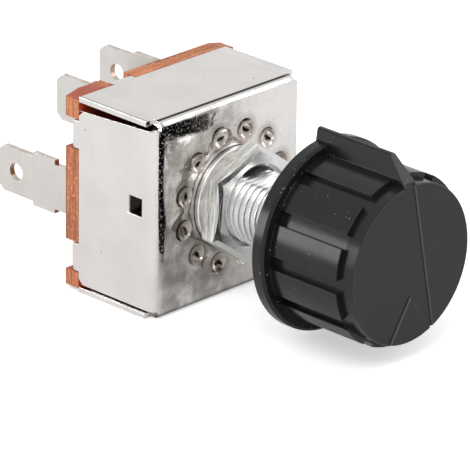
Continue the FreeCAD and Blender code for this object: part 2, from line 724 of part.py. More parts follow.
places = {
    "common": (common_x, common_z),
    "low": (low_x, low_z),
    "medium": (medium_x, medium_z),
    "high": (high_x, high_z),
}
rivets = {"common": (common_rivet_x, common_z)}
for step, name in enumerate(("low", "medium", "high")):
    angle = contact_first - contact_step * step
    rivets[name] = (contact_circle * cosine(angle), contact_circle * sine(angle))

slots = []
for x, z in places.values():
    half = blade_thick / 2 + fit_gap
    tall = stem_half + fit_gap
    slots.append(box_outline(x - half, z - tall, x + half, z + tall))
holes = [(x, z, shank_radius + fit_gap) for x, z in rivets.values()]
holes.append((0, 0, pilot_radius + shaft_run))
slab(board, "Pocket", case_depth - board_thick, board_rear + fit_gap, slots, holes)

# Terminals: a blade with shoulders, a stem through the board and a contact pad.
tip_y = board_rear + blade_stand
for name, (x, z) in places.items():
    terminal = piece("terminal_" + name)
    half_blade = [
        (foot_front, stem_half), (tip_y - blade_length - ear_length, stem_half),
        (tip_y - blade_length - ear_length, ear_half), (tip_y - blade_length, ear_half),
        (tip_y - blade_length, blade_half), (tip_y - blade_cut, blade_half),
        (tip_y, blade_half - blade_cut_z),
    ]
    outline = [(y, z + w) for y, w in half_blade]
    outline += [(y, z - w) for y, w in reversed(half_blade)]
    profile = sketch(terminal, "YZ_Plane", [outline], offset=x)
    extrude(terminal, "Pad", profile, blade_thick, both=True)
    profile = sketch(
        terminal, "YZ_Plane", circles=[(tip_y - latch_back, z, latch_radius)], offset=x - blade_thick
    )
    extrude(terminal, "Pocket", profile, blade_thick * 2, back=True)
    rx, rz = rivets[name]
    if name == "common":
        pad = box_outline(x - blade_thick / 2, z - strip_half, -track_inner, z + strip_half)
        slab(terminal, "Pad", foot_front, case_depth, [pad])
        slab(terminal, "Pad", foot_front, case_depth, circles=[(0, 0, track_outer)])
        slab(terminal, "Pocket", foot_front - tin, case_depth + tin, circles=[(0, 0, track_inner)])
        opening = box_outline(
            low_x - blade_thick / 2 - track_clear, track_end, track_outer * 2, track_outer * 2
        )
        slab(terminal, "Pocket", foot_front - tin, case_depth + tin, [opening])
    elif x.value < rx.value:
        pad = box_outline(x - blade_thick / 2, rz - pad_half, rx + pad_half, rz + pad_half)
        slab(terminal, "Pad", foot_front, case_depth, [pad])
    else:
        pad = box_outline(rx - pad_half, rz - pad_half, x + blade_thick / 2, rz + pad_half)
        slab(terminal, "Pad", foot_front, case_depth, [pad])
    slab(terminal, "Pocket", foot_front - tin, case_depth + tin,
         circles=[(rx, rz, shank_radius + fit_gap)])

    rivet = piece("contact_rivet_" + name)
    head = [
        (0, foot_front - head_thick), (head_radius, foot_front - head_thick),
        (head_radius, foot_front), (shank_radius, foot_front), (shank_radius, board_rear),
        (head_radius, board_rear), (head_radius, board_rear + clinch_thick),
        (0, board_rear + clinch_thick),
    ]
    spin(rivet, "Revolution", [head])
    place(rivet, rx, rz)

# Bushing: a threaded sleeve with a keying flat, held by its flange in the case.
bushing = piece("bushing")
spin(bushing, "Revolution", [[
    (bore, -bushing_front), (thread_radius - bushing_chamfer, -bushing_front),
    (thread_radius, bushing_chamfer - bushing_front), (thread_radius, tin),
    (flange_radius, tin), (flange_radius, tin + flange_thick), (bore, tin + flange_thick),
]])
flat = box_outline(-thread_radius, bushing_flat, thread_radius, thread_radius + tin)
slab(bushing, "Pocket", -bushing_front - tin, 0, [flat])

washer = piece("washer")
washer_edge = washer_thick / 4
spin(washer, "Revolution", [[
    (thread_radius + fit_gap, -washer_thick), (washer_radius - washer_edge, -washer_thick),
    (washer_radius, washer_edge - washer_thick), (washer_radius, 0), (thread_radius + fit_gap, 0),
]])

# Hexagon nut with bevelled corners, a turned shoulder and a countersunk bore.
nut = piece("hex_nut")
corner = nut_flats / (cosine(30) * 2)
bevel_radius = corner - nut_bevel / sine(30) * cosine(30)
nut_bore = thread_radius + fit_gap
spin(nut, "Revolution", [[
    (nut_bore, -washer_thick), (nut_shoulder, -washer_thick), (nut_shoulder, nut_rear),
    (corner, nut_rear - nut_bevel), (corner, nut_front + nut_bevel),
    (bevel_radius, nut_front), (nut_bore + nut_sink, nut_front),
    (nut_bore, nut_front + nut_sink),
]])
hexagon = []
for step in range(6):
    angle = nut_turn + step * 60
    hexagon.append((corner * cosine(angle), corner * sine(angle)))
slab(nut, "Pocket", nut_front - tin, nut_rear, [hexagon], circles=[(0, 0, corner * 2)])

# Shaft: flat for the knob, groove for the ring, collar, tang and rear pilot.
shaft = piece("shaft")
pilot_end = board_rear - pilot_inset
spin(shaft, "Revolution", [[
    (0, -shaft_front), (shaft_radius - shaft_end_cut, -shaft_front),
    (shaft_radius, shaft_end_cut - shaft_front), (shaft_radius, groove_front),
    (ring_seat, groove_front), (ring_seat, groove_rear), (shaft_radius, groove_rear),
    (shaft_radius, collar_front), (collar_radius, collar_front), (collar_radius, collar_back),
    (tang_radius, collar_back), (tang_radius, tang_end), (pilot_radius, tang_end),
    (pilot_radius, pilot_end), (0, pilot_end),
]])
flat = box_outline(-shaft_radius, shaft_flat, shaft_radius, shaft_radius + tin)
slab(shaft, "Pocket", -shaft_front - tin, flat_length - shaft_front, [flat])
sides = [
    box_outline(tang_half, -collar_radius, collar_radius, collar_radius),
    box_outline(-collar_radius, -collar_radius, -tang_half, collar_radius),
]
slab(shaft, "Pocket", collar_back, tang_end, sides)

ring = piece("retaining_ring")
spin(ring, "Revolution", [box_outline(ring_seat, groove_front, ring_outer, groove_rear)], ring_arc)

# Rotor: hub and web, two bosses that hold the detent balls, two drive posts.
rotor = piece("rotor")
spin(rotor, "Revolution", [[
    (0, hub_front), (hub_radius, hub_front), (hub_radius, web_front), (web_radius, web_front),
    (web_radius, tang_end), (neck_radius, tang_end), (neck_radius, neck_end), (0, neck_end),
]])
boss = rotor_reach - pit_circle
bosses = [(pit_circle, 0, boss), (-pit_circle, 0, boss)]
slab(rotor, "Pad", boss_front, web_front, circles=bosses)
slab(rotor, "Pad", arm_front, web_front,
     [box_outline(-pit_circle, -arm_half, pit_circle, arm_half)])
posts = [(post_circle, 0, post_radius), (-post_circle, 0, post_radius)]
slab(rotor, "Pad", tang_end, neck_end - coil_wire, circles=posts)
pockets = [(pit_circle, 0, bore_radius), (-pit_circle, 0, bore_radius)]
slab(rotor, "Pocket", boss_front - tin, web_front, circles=pockets)
slab(rotor, "Pocket", hub_front - tin, neck_end + tin,
     circles=[(0, 0, pilot_radius + shaft_run)])
slot_half = tang_half + shaft_run
slot_tall = tang_radius + shaft_run
tang_slot = [
    (-slot_half, -slot_tall), (slot_half, -slot_tall), (slot_half, slot_tall),
    (-slot_half, slot_tall),
]
slab(rotor, "Pocket", hub_front - tin, tang_end, [tang_slot])

for side, name in ((1, "right"), (-1, "left")):
    ball = doc.addObject("Part::Sphere", "detent_ball_" + name)
    ball.Label = "detent_ball_" + name
    ball.setExpression("Radius", ball_radius.text)
    ball.setExpression(".Placement.Base.x", (pit_circle * side).text)
    ball.setExpression(".Placement.Base.y", ball_y.text)
    nodes.append(ball)
    coil = piece("detent_spring_" + name)
    coil_outer = ball_radius - bore_slack * 2
    spin(coil, "Revolution", [box_outline(
        coil_outer - coil_wire, ball_y + ball_radius, coil_outer, web_front
    )])
    place(coil, pit_circle * side, 0)

# Moving contact: a stamped plate with one speed bump and two on the track.
plate = piece("moving_contact")
plate_rear = neck_end
plate_front = plate_rear - plate_thick
drive_holes = [(0, 0, neck_radius + fit_gap * 2)]
drive_holes += [(x, z, r + fit_gap * 2) for x, z, r in posts]
slab(plate, "Pad", plate_front, plate_rear, circles=[(0, 0, plate_radius)])
slab(plate, "Pocket", plate_front - tin, plate_rear + tin, circles=drive_holes)
slab(plate, "Pad", plate_front, rivet_front - bump_gap, circles=[
    (contact_circle * cosine(bump_rest), contact_circle * sine(bump_rest), bump_radius)
])
track_middle = (track_inner + track_outer) / 2 + fit_gap * 2
feet = []
for turn in (120, 240):
    angle = bump_rest + turn
    feet.append((track_middle * cosine(angle), track_middle * sine(angle), bump_radius))
slab(plate, "Pad", plate_front, foot_front - bump_gap, circles=feet)

spring = piece("contact_spring")
spin(spring, "Revolution", [box_outline(
    spring_inner, tang_end, spring_inner + spring_wall, plate_front
)])

# Knob: a skirt, a round body with raised grip pads, and a pointer. Pads, pointer
# and arrow are turned by the pointer's lean.
knob = piece("knob")
skirt_front = -knob_rear - skirt_thick
cavity_end = knob_wall - knob_front
hub_end = -knob_rear - hub_inset
spin(knob, "Revolution", [[
    (0, -knob_front), (face_radius - face_round, -knob_front),
    (face_radius, face_round - knob_front), (body_edge, -collar_rear), (body_edge, skirt_front),
    (skirt_radius - edge_round, skirt_front), (skirt_radius, skirt_front + edge_round),
    (skirt_radius, -knob_rear - edge_round), (skirt_radius - edge_round, -knob_rear),
    (cavity_radius, -knob_rear), (cavity_radius, cavity_end), (knob_hub, cavity_end),
    (knob_hub, hub_end), (0, hub_end),
]])
pad_turn = -knob_lean - pad_pitch / 2
pad_profile = sketch(knob, "XY_Plane", [
    box_outline(body_edge - pad_height, -collar_rear, body_edge + pad_height, skirt_front),
], turn=pad_turn)
pad = knob.newObject("PartDesign::Revolution", "Pad")
pad.Profile = pad_profile
pad.ReferenceAxis = (pad_profile, ["V_Axis"])
pad.Midplane = True
pad.setExpression("Angle", (pad_pitch - pad_gap).text)
doc.recompute()
pads = knob.newObject("PartDesign::PolarPattern", "Pads")
pads.Originals = [pad]
pads.Axis = (pad_profile, ["V_Axis"])
pads.Occurrences = round(360 / pad_pitch.value)
knob.Tip = pads
doc.recompute()


def leaning(outline):
    # The outline turned about the shaft by the pointer's lean.
    c, s = cosine(knob_lean), sine(knob_lean)
    return [(u * c - v * s, as_size(u) * s + v * c) for u, v in outline]


pointer_root = cavity_radius + edge_round
slab(knob, "Pad", -knob_front, -knob_rear, [leaning([
    (-fin_base, pointer_root), (fin_base, pointer_root), (fin_base, face_radius - pad_height),
    (fin_crest, fin_height - fin_crest / 2), (fin_crest / 2, fin_height),
    (-fin_crest / 2, fin_height), (-fin_crest, fin_height - fin_crest / 2),
    (-fin_base, face_radius - pad_height),
])])
slope = [
    (fin_slope - knob_front, fin_height), (-knob_front, face_radius),
    (-knob_front - tin, face_radius), (-knob_front - tin, fin_height + tin),
    (fin_slope - knob_front, fin_height + tin),
]
profile = sketch(knob, "YZ_Plane", [slope], offset=-fin_base * 2)
extrude(knob, "Pocket", profile, fin_base * 4, back=True)
brace = [
    box_outline(knob_hub - tin, -brace_half, cavity_radius + tin, brace_half),
    box_outline(-cavity_radius - tin, -brace_half, tin - knob_hub, brace_half),
    box_outline(-brace_half, knob_hub - tin, brace_half, cavity_radius + tin),
    box_outline(-brace_half, -cavity_radius - tin, brace_half, tin - knob_hub),
]
slab(knob, "Pad", cavity_end, -knob_rear - brace_inset, brace)
bore_bottom = -shaft_front - hub_bore_end
bore_flat = shaft_flat + clip_thick + clip_slack * 2
slab(knob, "Pocket", bore_bottom, hub_end + tin, circles=[(0, 0, shaft_radius + hub_bore_slack)])
slab(knob, "Pad", bore_bottom, flat_length - shaft_front,
     [box_outline(-shaft_radius, bore_flat, shaft_radius, shaft_radius + tin)])
arrow = leaning([
    (-arrow_top, face_radius + tin), (arrow_top, face_radius + tin),
    (arrow_low, -face_radius - arrow_tail), (as_size(0), arrow_notch - face_radius),
    (-arrow_low, -face_radius - arrow_tail),
])
profile = sketch(knob, "XZ_Plane", [arrow], offset=knob_front)
recess = extrude(knob, "Pocket", profile, arrow_depth)
recess.setExpression("TaperAngle", "-1 * " + arrow_slope.text)
doc.recompute()

# Spring clip between the shaft's flat and the flat side of the knob's bore.
clip = piece("knob_clip")
clip_low = shaft_flat + clip_slack
clip_high = clip_low + clip_thick
clip_front = flat_length - shaft_front - clip_reach
clip_rear = flat_length - shaft_front
clip_side = [
    (clip_front, clip_low), (clip_rear, clip_low), (clip_rear, clip_high),
    (clip_front, clip_high),
]
profile = sketch(clip, "YZ_Plane", [clip_side])
extrude(clip, "Pad", profile, clip_half * 2, both=True)

doc.recompute()

for item in doc.Objects:
    if "Invalid" in item.State or "Error" in item.State:
        raise RuntimeError("failed: %s %s" % (item.Name, item.State))
os.makedirs("parts", exist_ok=True)
for node in nodes:
    shape = node.Shape
    if shape.isNull() or not shape.isValid() or not shape.Solids:
        raise RuntimeError("bad shape: " + node.Label)
    if len(shape.Solids) != 1:
        raise RuntimeError("not one solid: %s has %d" % (node.Label, len(shape.Solids)))
for node in nodes:
    node.Shape.exportStep("parts/%s.step" % node.Label)
print("%d pieces written" % len(nodes))
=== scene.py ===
import json
import math
import bpy
from mathutils import Matrix, Vector

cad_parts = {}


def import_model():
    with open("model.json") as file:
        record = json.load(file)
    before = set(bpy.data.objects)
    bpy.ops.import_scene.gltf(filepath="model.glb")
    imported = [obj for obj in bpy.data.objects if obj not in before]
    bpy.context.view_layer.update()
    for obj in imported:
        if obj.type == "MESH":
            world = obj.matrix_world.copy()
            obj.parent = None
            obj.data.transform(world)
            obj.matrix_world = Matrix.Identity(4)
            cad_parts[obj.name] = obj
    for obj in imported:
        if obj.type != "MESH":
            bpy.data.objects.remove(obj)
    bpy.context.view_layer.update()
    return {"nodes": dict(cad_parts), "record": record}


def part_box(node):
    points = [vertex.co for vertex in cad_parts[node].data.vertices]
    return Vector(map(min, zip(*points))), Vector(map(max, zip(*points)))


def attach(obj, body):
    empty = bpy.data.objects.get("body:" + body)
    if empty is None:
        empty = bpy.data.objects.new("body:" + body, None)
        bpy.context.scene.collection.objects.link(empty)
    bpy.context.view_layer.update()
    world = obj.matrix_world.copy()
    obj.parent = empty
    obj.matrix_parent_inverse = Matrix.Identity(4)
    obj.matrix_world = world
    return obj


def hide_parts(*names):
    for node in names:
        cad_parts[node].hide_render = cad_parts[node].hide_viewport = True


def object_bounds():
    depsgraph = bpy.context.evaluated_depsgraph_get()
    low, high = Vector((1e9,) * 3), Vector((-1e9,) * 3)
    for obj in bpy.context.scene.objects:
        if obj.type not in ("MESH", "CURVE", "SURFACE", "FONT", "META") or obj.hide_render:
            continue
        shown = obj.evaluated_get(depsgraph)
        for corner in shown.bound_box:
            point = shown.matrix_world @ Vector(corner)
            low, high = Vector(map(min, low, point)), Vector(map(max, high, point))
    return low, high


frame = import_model()
mm = 0.001


# A socket that can be used in sums: 1 - mask, mask * 2 + grain.
class Value:
    def __init__(self, finish, socket):
        self.finish = finish
        self.socket = socket

    def combine(self, operation, a, b=0.0):
        return self.finish.node("ShaderNodeMath", {"operation": operation}, {0: a, 1: b})

    def __add__(self, other):
        return self.combine("ADD", self, other)

    def __radd__(self, other):
        return self.combine("ADD", other, self)

    def __sub__(self, other):
        return self.combine("SUBTRACT", self, other)

    def __rsub__(self, other):
        return self.combine("SUBTRACT", other, self)

    def __mul__(self, other):
        return self.combine("MULTIPLY", self, other)

    def __rmul__(self, other):
        return self.combine("MULTIPLY", other, self)

    def __truediv__(self, other):
        return self.combine("DIVIDE", self, other)

    def __rtruediv__(self, other):
        return self.combine("DIVIDE", other, self)

    def __gt__(self, other):
        return self.combine("GREATER_THAN", self, other)

    def __lt__(self, other):
        return self.combine("LESS_THAN", self, other)

    def minimum(self, other):
        return self.combine("MINIMUM", self, other)

    def maximum(self, other):
        return self.combine("MAXIMUM", self, other)

    def absolute(self):
        return self.combine("ABSOLUTE", self)

    def root(self):
        return self.combine("SQRT", self)

    def fraction(self):
        return self.combine("FRACT", self)

    def cosine(self):
        return self.combine("COSINE", self)

    def bearing(self, across):
        return self.combine("ARCTAN2", self, across)


class Finish:
    def __init__(self, name, tree=None):
        if tree is None:
            self.material = bpy.data.materials.new(name)
            self.material.use_nodes = True
            tree = self.material.node_tree
        self.tree = tree
        self.tree.nodes.clear()

    # One node: its settings first, then the values or links of its sockets.
    def node(self, kind, settings=None, inputs=None, output=0):
        made = self.tree.nodes.new(kind)
        for name, value in (settings or {}).items():
            setattr(made, name, value)
        for name, value in (inputs or {}).items():
            target = made.inputs[name]
            if isinstance(value, Value):
                self.tree.links.new(value.socket, target)
            elif target.type == "RGBA":
                target.default_value = (*value, 1.0)
            else:
                target.default_value = value
        return Value(self, made.outputs[output]) if len(made.outputs) else None

    def place(self, kind="Object"):
        return self.node("ShaderNodeTexCoord", output=kind)

    def parts(self, vector):
        made = self.node("ShaderNodeSeparateXYZ", {}, {"Vector": vector})
        return [Value(self, socket) for socket in made.socket.node.outputs]

    # Where a point is on the object, in millimetres: x, y and z.
    def spot(self):
        scaled = {"Vector": self.place(), "Scale": 1 / mm}
        return self.parts(self.node("ShaderNodeVectorMath", {"operation": "SCALE"}, scaled))

    # Which way a face looks, as three numbers from -1 to 1.
    def facing(self):
        return self.parts(self.place("Normal"))

    # The scale is one number, or three where the grain is longer one way.
    def noise(self, scale, detail, roughness):
        where = self.place()
        if isinstance(scale, tuple):
            where = self.node("ShaderNodeMapping", {}, {"Vector": where, "Scale": scale})
            scale = 1.0
        return self.node("ShaderNodeTexNoise", {}, {
            "Vector": where, "Scale": scale, "Detail": detail, "Roughness": roughness,
        })

    # 0 below the first number and 1 above the second, with a smooth rise.
    def ramp(self, value, low, high):
        return self.node("ShaderNodeMapRange", {"interpolation_type": "SMOOTHSTEP"}, {
            "Value": value, "From Min": low, "From Max": high, "To Min": 0.0, "To Max": 1.0,
        })

    # The other way round: 1 below and 0 above.
    def fade(self, value, low, high):
        return 1 - self.ramp(value, low, high)

    # Patches of noise, between the two levels at which they start and are full.
    def patches(self, noise, levels):
        return self.ramp(self.noise(*noise), *levels)

    def blend(self, factor, a, b):
        return self.node("ShaderNodeMix", {"data_type": "RGBA"}, {0: factor, 6: a, 7: b}, output=2)

    def bump(self, height, strength, distance, after=None):
        inputs = {"Height": height, "Strength": strength, "Distance": distance}
        if after is not None:
            inputs["Normal"] = after
        return self.node("ShaderNodeBump", {}, inputs)

    def softEdge(self, radius):
        return self.node("ShaderNodeBevel", {"samples": 4}, {"Radius": radius})

    def done(self, **sockets):
        shader = self.node("ShaderNodeBsdfPrincipled", {}, {
            name.replace("_", " "): value for name, value in sockets.items()
        })
        self.node("ShaderNodeOutputMaterial", {}, {"Surface": shader})
        return self.material


# In the finishes below, a noise is its scale, detail and roughness, and a pair
# of numbers is where a ramp starts and ends. Places and distances are in
# millimetres, and the shaft's axis meets the case's front at 0, 0, 0.

# Bright tin on the folded case: near mirror and flat along its edges, drawn in
# towards the nut and the pits, stained where the punches pressed it and darker
# in the pits as a painted reflection. Painted shade and painted reflections also
# darken its bends, the washer's rim, the bottom edge, the lance and the front's left.
def tinnedSheet():
    look = {
        "bright": (0.80, 0.775, 0.755), "dull": (0.71, 0.685, 0.665), "paintedDark": (0.020, 0.017, 0.015),
        "stain": (0.30, 0.22, 0.17), "paintedReflection": (0.26, 0.235, 0.215), "speck": (0.16, 0.13, 0.11),
        "patchNoise": (160, 4.0, 0.6), "patchLevels": (0.35, 0.68),
        "speckNoise": (900, 1.0, 0.4), "speckLevels": (0.775, 0.80),
        "pimpleNoise": (3400, 1.0, 0.5), "pimpleLevels": (0.635, 0.70),
        "paintedReflectionNoise": (320, 3.0, 0.6), "paintedReflectionLevels": (0.25, 0.65),
        "waveNoise": (420, 2.0, 0.5), "grainNoise": (5200, 2.0, 0.6),
        "dullPatch": 0.55, "dullGrain": 0.25, "stainPatch": 0.4, "stainShare": 0.35,
        "roughLow": 0.05, "roughHigh": 0.12, "roughGrain": 0.04, "edge": 0.12 * mm,
        "waveDepth": 0.14 * mm, "waveShare": 0.60, "skinDepth": 0.03 * mm, "skinShare": 0.80,
        "grainHeight": 0.15, "speckHeight": -0.8,
        "flatSide": 2.0, "flatEnd": 2.8, "drawStart": 1.2, "drawSlope": 0.13,
        "rollStart": 0.5, "rollSlope": 0.22,
        "pits": 12, "pitCircle": 9.0, "pitFoot": (1.16, 2.6), "pitSlope": 0.08, "stainBack": (0.8, 1.0),
        "frontFaces": (0.5, 0.8), "topEdge": (0.12, 0.04),
        "crease": 0.78, "creaseWidth": (0.15, 0.42), "creaseLevels": (0.25, 0.6),
        "rimLine": 0.33, "rimWidth": (0.02, 0.09), "rimShare": 0.8,
        "foot": (0.20, 1.00), "footBack": (0.8, 1.3), "footShare": 0.85,
        "washer": 6.85, "washerWidth": (0.06, 0.24), "washerShare": 0.85,
        "paintedReflectionSide": (0.2, 2.6), "paintedReflectionEnd": (-3.0, 5.0), "paintedReflectionShare": 0.8, "speckShare": 0.8,
        "tongueSide": (0.10, 0.40), "tongueFront": 1.6, "tongueRear": 5.4, "tongueHalf": 3.0,
    }
    f = Finish("brightTin")
    low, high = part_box("case")
    low, high = low / mm, high / mm
    x, y, z = f.spot()
    front = f.ramp(0 - f.facing()[1], *look["frontFaces"])
    onTop = f.ramp(z, high.z - look["topEdge"][0], high.z - look["topEdge"][1])

    sideGap = (x - low.x).minimum(high.x - x)
    endGap = (z - low.z).minimum(high.z - z)
    fromSide = (sideGap - look["flatSide"]).maximum(0.0)
    fromEnd = (endGap - look["flatEnd"]).maximum(0.0)
    fromSide = fromSide * fromSide / (fromSide + look["drawStart"])
    fromEnd = fromEnd * fromEnd / (fromEnd + look["drawStart"])
    rounded = fromSide * fromEnd / (fromSide * fromSide + fromEnd * fromEnd + 0.01).root()
    rolled = (look["flatSide"] - sideGap).maximum(0.0)
    rolled = rolled * rolled / (rolled + look["rollStart"])

    sector = 2 * math.pi / look["pits"]
    ring = look["pitCircle"]
    radius = (x * x + z * z).root()
    turned = ((z.bearing(x) / sector).fraction() - 0.5) * sector
    fromPit = (radius * radius + ring * ring - radius * turned.cosine() * (2 * ring)).maximum(0.0).root()
    pit = f.fade(fromPit, *look["pitFoot"])
    drawn = rounded * look["drawSlope"] + pit * look["pitSlope"] + rolled * look["rollSlope"]

    patch = f.patches(look["patchNoise"], look["patchLevels"])
    speck = f.patches(look["speckNoise"], look["speckLevels"])
    pimples = f.patches(look["pimpleNoise"], look["pimpleLevels"]) * front
    grain = f.noise(*look["grainNoise"])
    # Painted reflection: dark patches on the left of the front, where the tin mirrors the knob's dark rear.
    paintedReflection = front * f.ramp(sideGap, *look["paintedReflectionSide"]) * f.fade(x, *look["paintedReflectionEnd"])
    paintedReflection = paintedReflection * f.patches(look["paintedReflectionNoise"], look["paintedReflectionLevels"])
    # A groove along the top's front bend; its dark colour is a painted reflection.
    crease = f.fade((y - look["crease"]).absolute(), *look["creaseWidth"])
    crease = crease * onTop * f.ramp(patch + grain, *look["creaseLevels"])
    # Painted shade: a dark hairline along the top's left bend.
    rim = f.fade((x - low.x - look["rimLine"]).absolute(), *look["rimWidth"]) * onTop * look["rimShare"]
    # Painted shade: a dark line along the bottom edge at the front.
    foot = f.fade(z - low.z, *look["foot"]) * f.fade(y, *look["footBack"]) * look["footShare"]
    # Painted shadow: a dark ring where the washer's edge meets the front.
    paintedWasherShadow = f.fade((radius - look["washer"]).absolute(), *look["washerWidth"]) * look["washerShare"]
    # Painted shadow inside the lanced window in the left side.
    paintedLanceShadow = f.ramp(x - low.x, *look["tongueSide"]) * (x < 0.0) * (z.absolute() < look["tongueHalf"])
    paintedLanceShadow = paintedLanceShadow * (y > look["tongueFront"]) * (y < look["tongueRear"])

    # Brown stain round the pits, made deeper inside them as a painted dark reflection.
    stainAndPaintedReflection = pit * (patch * look["stainPatch"] + look["stainShare"]) * f.fade(y, *look["stainBack"])
    tone = f.blend(patch * look["dullPatch"] + grain * look["dullGrain"], look["bright"], look["dull"])
    tone = f.blend(stainAndPaintedReflection, tone, look["stain"])
    tone = f.blend(paintedReflection * look["paintedReflectionShare"], tone, look["paintedReflection"])
    tone = f.blend(speck * look["speckShare"], tone, look["speck"])
    # Painted shade and painted reflection, all in the one dark colour.
    tone = f.blend(paintedWasherShadow.maximum(foot).maximum(rim).maximum(crease).maximum(paintedLanceShadow), tone, look["paintedDark"])
    rough = patch * (look["roughHigh"] - look["roughLow"]) + grain * look["roughGrain"] + look["roughLow"]
    dish = f.bump(0 - drawn, 1.0, 1.0 * mm, f.softEdge(look["edge"]))
    swell = f.bump(f.noise(*look["waveNoise"]), look["waveShare"], look["waveDepth"], dish)
    fine = grain * look["grainHeight"] + pimples + speck * look["speckHeight"] - crease
    skin = f.bump(fine, look["skinShare"], look["skinDepth"], swell)
    return f.done(Base_Color=tone, Metallic=1.0, Roughness=rough, Normal=skin)


# Nickel plating on the turned pieces: bright, with faint turning rings.
def platedMetal():
    look = {
        "bright": (0.90, 0.90, 0.89), "dull": (0.74, 0.74, 0.73), "dullShare": 0.5,
        "cloudNoise": (260, 4.0, 0.6), "cloudLevels": (0.3, 0.7),
        "ringNoise": ((90, 5200, 90), 2.0, 0.5), "grainNoise": (4200, 1.0, 0.5),
        "rough": 0.17, "roughCloud": 0.12, "roughRings": 0.08,
        "edge": 0.10 * mm, "skinDepth": 0.015 * mm, "skinShare": 0.18, "grainHeight": 0.4,
    }
    f = Finish("nickelPlate")
    cloud = f.patches(look["cloudNoise"], look["cloudLevels"])
    rings = f.noise(*look["ringNoise"])
    grain = f.noise(*look["grainNoise"])
    tone = f.blend(cloud * look["dullShare"], look["bright"], look["dull"])
    rough = cloud * look["roughCloud"] + rings * look["roughRings"] + look["rough"]
    fine = rings + grain * look["grainHeight"]
    skin = f.bump(fine, look["skinShare"], look["skinDepth"], f.softEdge(look["edge"]))
    return f.done(Base_Color=tone, Metallic=1.0, Roughness=rough, Normal=skin)


# The nut's plating: its front has bevelled corners and a dull band along its
# edges, and its flats have the marks of the drawn bar in a lighter tone, which
# is also a painted reflection.
def nutPlate():
    look = {
        "bright": (0.80, 0.80, 0.80), "dull": (0.66, 0.66, 0.655), "dullShare": 0.5,
        "barStreaksAndPaintedReflection": (0.96, 0.965, 0.91), "flatShare": 0.1, "streakShare": 0.85, "streakLevels": (0.35, 0.62),
        "cloudNoise": (260, 4.0, 0.6), "cloudLevels": (0.3, 0.7), "grainNoise": (4200, 1.0, 0.5),
        "scratchNoise": ((1500, 5200, 1500), 2.0, 0.5), "barNoise": ((140, 1100, 140), 2.0, 0.5),
        "rough": 0.14, "roughCloud": 0.10, "roughScratch": 0.08, "roughFlat": 0.08, "flatHaze": 0.25,
        "edge": 0.10 * mm, "barDepth": 0.30 * mm,
        "skinDepth": 0.015 * mm, "skinShare": 0.25, "grainHeight": 0.5,
        "frontFaces": (0.35, 0.6), "flats": 7.0, "turn": 24.0, "band": 0.62, "bandSlope": 0.55,
        "bevelFrom": 6.87, "bevelAngle": 30.0,
    }
    f = Finish("nutNickel")
    x, _, z = f.spot()
    front = f.ramp(0 - f.facing()[1], *look["frontFaces"])
    side = 1 - front
    across = None  # how far out a point is, towards the nearest of the six flats
    for pair in range(3):
        way = math.radians(look["turn"] + 30 + 60 * pair)
        reach = (x * math.cos(way) + z * math.sin(way)).absolute()
        across = reach if across is None else across.maximum(reach)
    band = (look["band"] - (look["flats"] - across)).maximum(0.0) * look["bandSlope"]
    bevelSlope = math.tan(math.radians(look["bevelAngle"]))
    bevel = ((x * x + z * z).root() - look["bevelFrom"]).maximum(0.0) * bevelSlope
    cloud = f.patches(look["cloudNoise"], look["cloudLevels"])
    scratch = f.noise(*look["scratchNoise"])
    grain = f.noise(*look["grainNoise"])
    streaks = f.ramp(scratch, *look["streakLevels"])
    tone = f.blend(cloud * look["dullShare"], look["bright"], look["dull"])
    # The flats' lighter tone: streaks of the drawn bar, and a painted reflection of the bright room.
    tone = f.blend(side * (streaks * look["streakShare"] + look["flatShare"]), tone, look["barStreaksAndPaintedReflection"])
    metal = 1 - side * look["flatHaze"]
    rough = cloud * look["roughCloud"] + scratch * look["roughScratch"] + look["rough"]
    rough = rough + side * look["roughFlat"]
    shape = f.bump((bevel - band) * front, 1.0, 1.0 * mm, f.softEdge(look["edge"]))
    drawn = f.bump(f.noise(*look["barNoise"]) * side, 1.0, look["barDepth"], shape)
    skin = f.bump(scratch + grain * look["grainHeight"], look["skinShare"], look["skinDepth"], drawn)
    return f.done(Base_Color=tone, Metallic=metal, Roughness=rough, Normal=skin)


